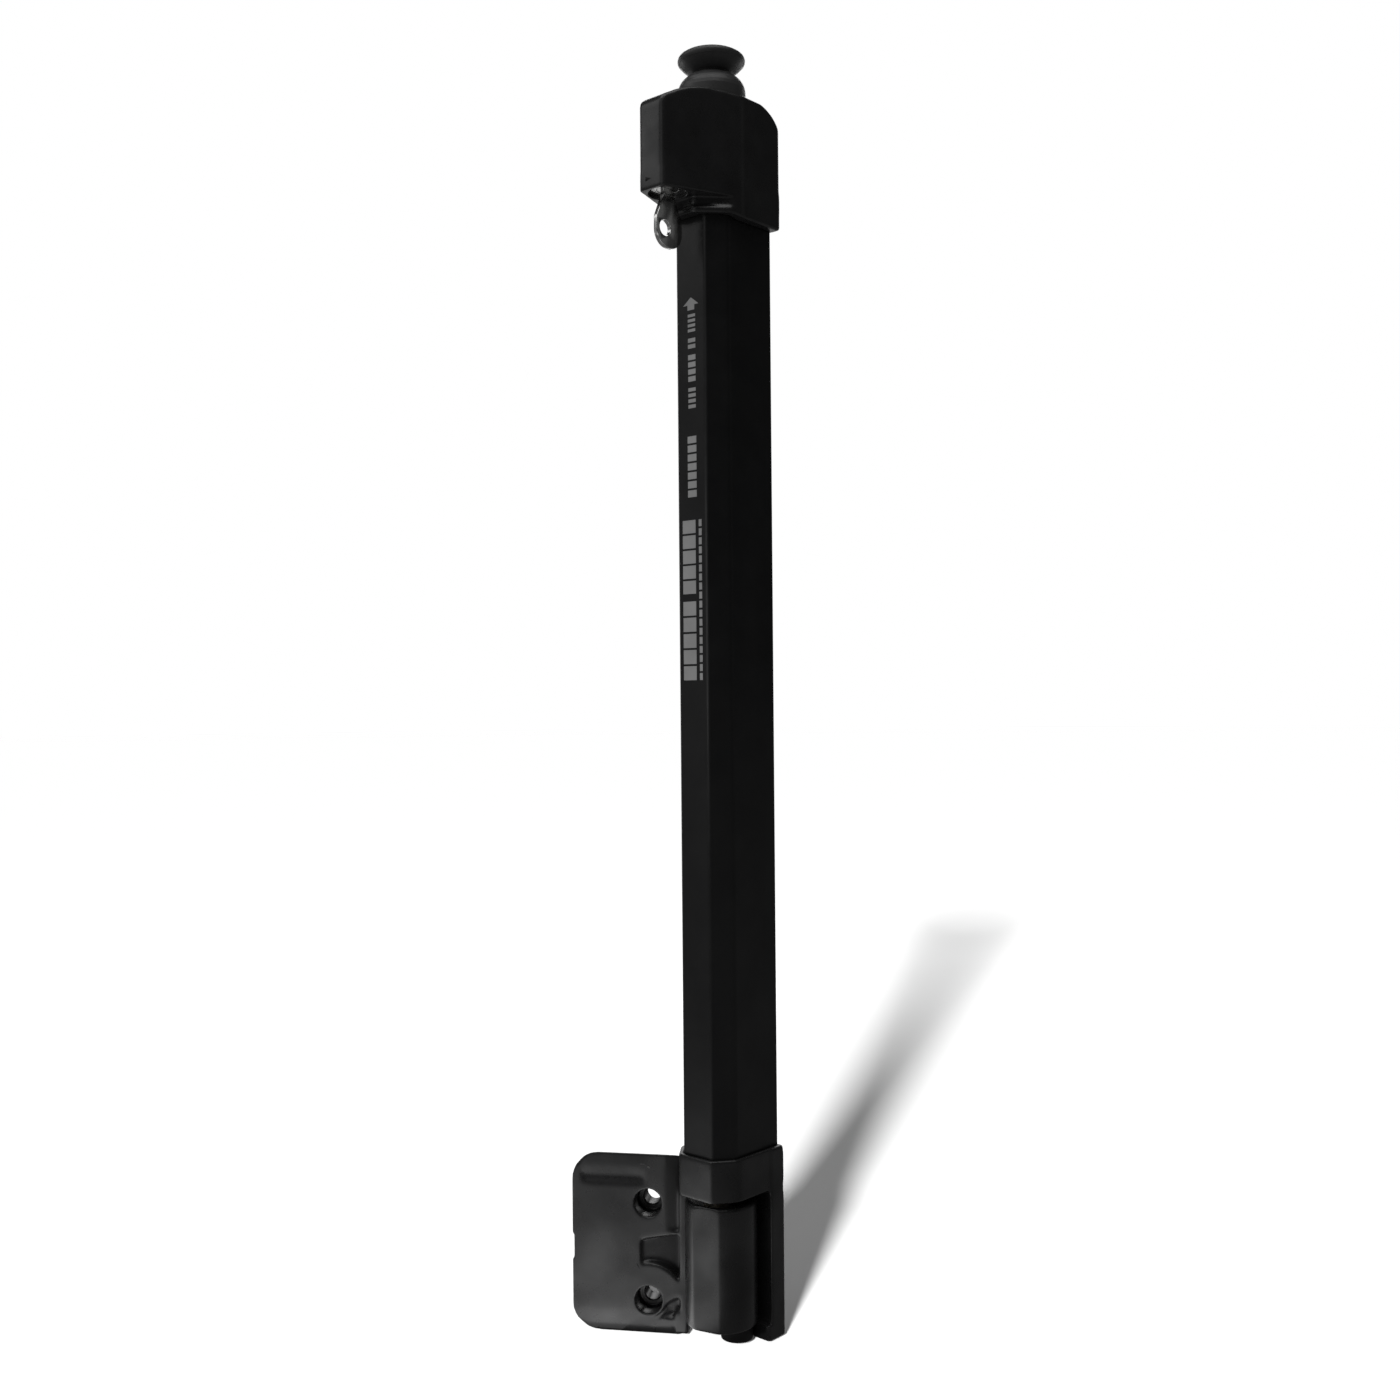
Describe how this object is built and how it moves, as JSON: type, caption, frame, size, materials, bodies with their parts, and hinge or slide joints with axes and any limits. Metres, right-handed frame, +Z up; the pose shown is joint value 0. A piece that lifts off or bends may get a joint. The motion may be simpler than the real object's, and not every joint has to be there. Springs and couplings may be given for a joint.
{
  "type": "magnetic gate latch",
  "caption": "Tall black top-pull magnetic gate latch: post-mounted tube with a key-locked lift knob and drop pin, and a gate striker whose barrel holds the magnet and the pin socket.",
  "frame": {"origin": "on the latch body's back plane, where it meets the post, midway between the lower plate's two screws", "axes": "+Z up along the tube, +Y into the post, +X to the latch's right, away from the gate; -Y faces the user"},
  "size_m": [0.0818, 0.0568, 0.516],
  "materials": {
    "moulded_black": "semi-gloss",
    "knob_black": "semi-gloss",
    "tube_black": "satin",
    "cover_black": "matte",
    "plate_steel": "brushed",
    "screw_steel": "satin",
    "rod_steel": "ground",
    "spring_steel": "drawn",
    "lock_nickel": "satin nickel",
    "lock_steel": "satin",
    "key_nickel": "nickel",
    "bush_brass": "turned",
    "guide_nylon": "natural",
    "liner_nickel": "nickel",
    "magnet_nickel": "nickel"
  },
  "bodies": {
    "latch": {"body_tube": "tube_black", "lower_housing": "moulded_black", "upper_housing": "moulded_black", "lower_screw_plate": "plate_steel", "upper_screw_plate": "plate_steel", "set_screws": "screw_steel", "tube_screws": "screw_steel", "knob_boss": "knob_black", "pin_bush": "bush_brass", "rod_guide": "guide_nylon", "spring_seat": "guide_nylon", "return_spring": "spring_steel", "lock_body": "lock_nickel", "lock_clip": "lock_steel", "slide_guide": "guide_nylon"},
    "lift": {"knob": "knob_black", "knob_stem": "rod_steel", "lift_rod": "rod_steel", "rod_coupler": "rod_steel", "latch_pin": "rod_steel", "cross_pins": "rod_steel"},
    "lock": {"lock_plug": "lock_nickel", "lock_driver": "lock_steel", "driver_screw": "screw_steel"},
    "key": {"key": "key_nickel"},
    "slide": {"lock_slide": "lock_steel"},
    "striker": {"striker_body": "moulded_black", "striker_back_cover": "cover_black", "cover_screws": "screw_steel", "socket_liner": "liner_nickel", "barrel_plug": "cover_black"},
    "adjuster": {"adjuster_screw": "screw_steel"},
    "carrier": {"magnet_carrier": "guide_nylon", "magnet": "magnet_nickel"}
  },
  "joints": [
    {"name": "knob_lift", "type": "slide", "parent": "latch", "child": "lift", "axis": [0, 0, 1], "range_m": [0, 0.018], "deforming": ["return_spring"]},
    {"name": "lock_turn", "type": "hinge", "parent": "latch", "child": "lock", "pos_m": [0, -0.0472, 0.43], "axis": [0, 0, 1], "range_deg": [0, 90]},
    {"name": "slide_throw", "type": "slide", "parent": "latch", "child": "slide", "axis": [0, 1, 0], "range_m": [0, 0.00425]},
    {"name": "key_withdraw", "type": "slide", "parent": "lock", "child": "key", "axis": [0, 0, -1], "range_m": [0, 0.025]},
    {"name": "striker_swivel", "type": "hinge", "parent": "latch", "child": "striker", "pos_m": [0, -0.021, 0], "axis": [0, 0, 1], "range_deg": [-32.3, 15]},
    {"name": "adjuster_turn", "type": "hinge", "parent": "striker", "child": "adjuster", "pos_m": [0.00379, -0.01609, -0.03], "axis": [0, 0, 1], "range_deg": [-360, 720]},
    {"name": "magnet_height", "type": "slide", "parent": "striker", "child": "carrier", "axis": [0, 0, 1], "range_m": [-0.002, 0.001]}
  ],
  "couplings": [
    {"joint": "slide_throw", "follows": "lock_turn", "m_per_rad": 0.0027009},
    {"joint": "adjuster_turn", "follows": "magnet_height", "rad_per_m": -6283}
  ]
}
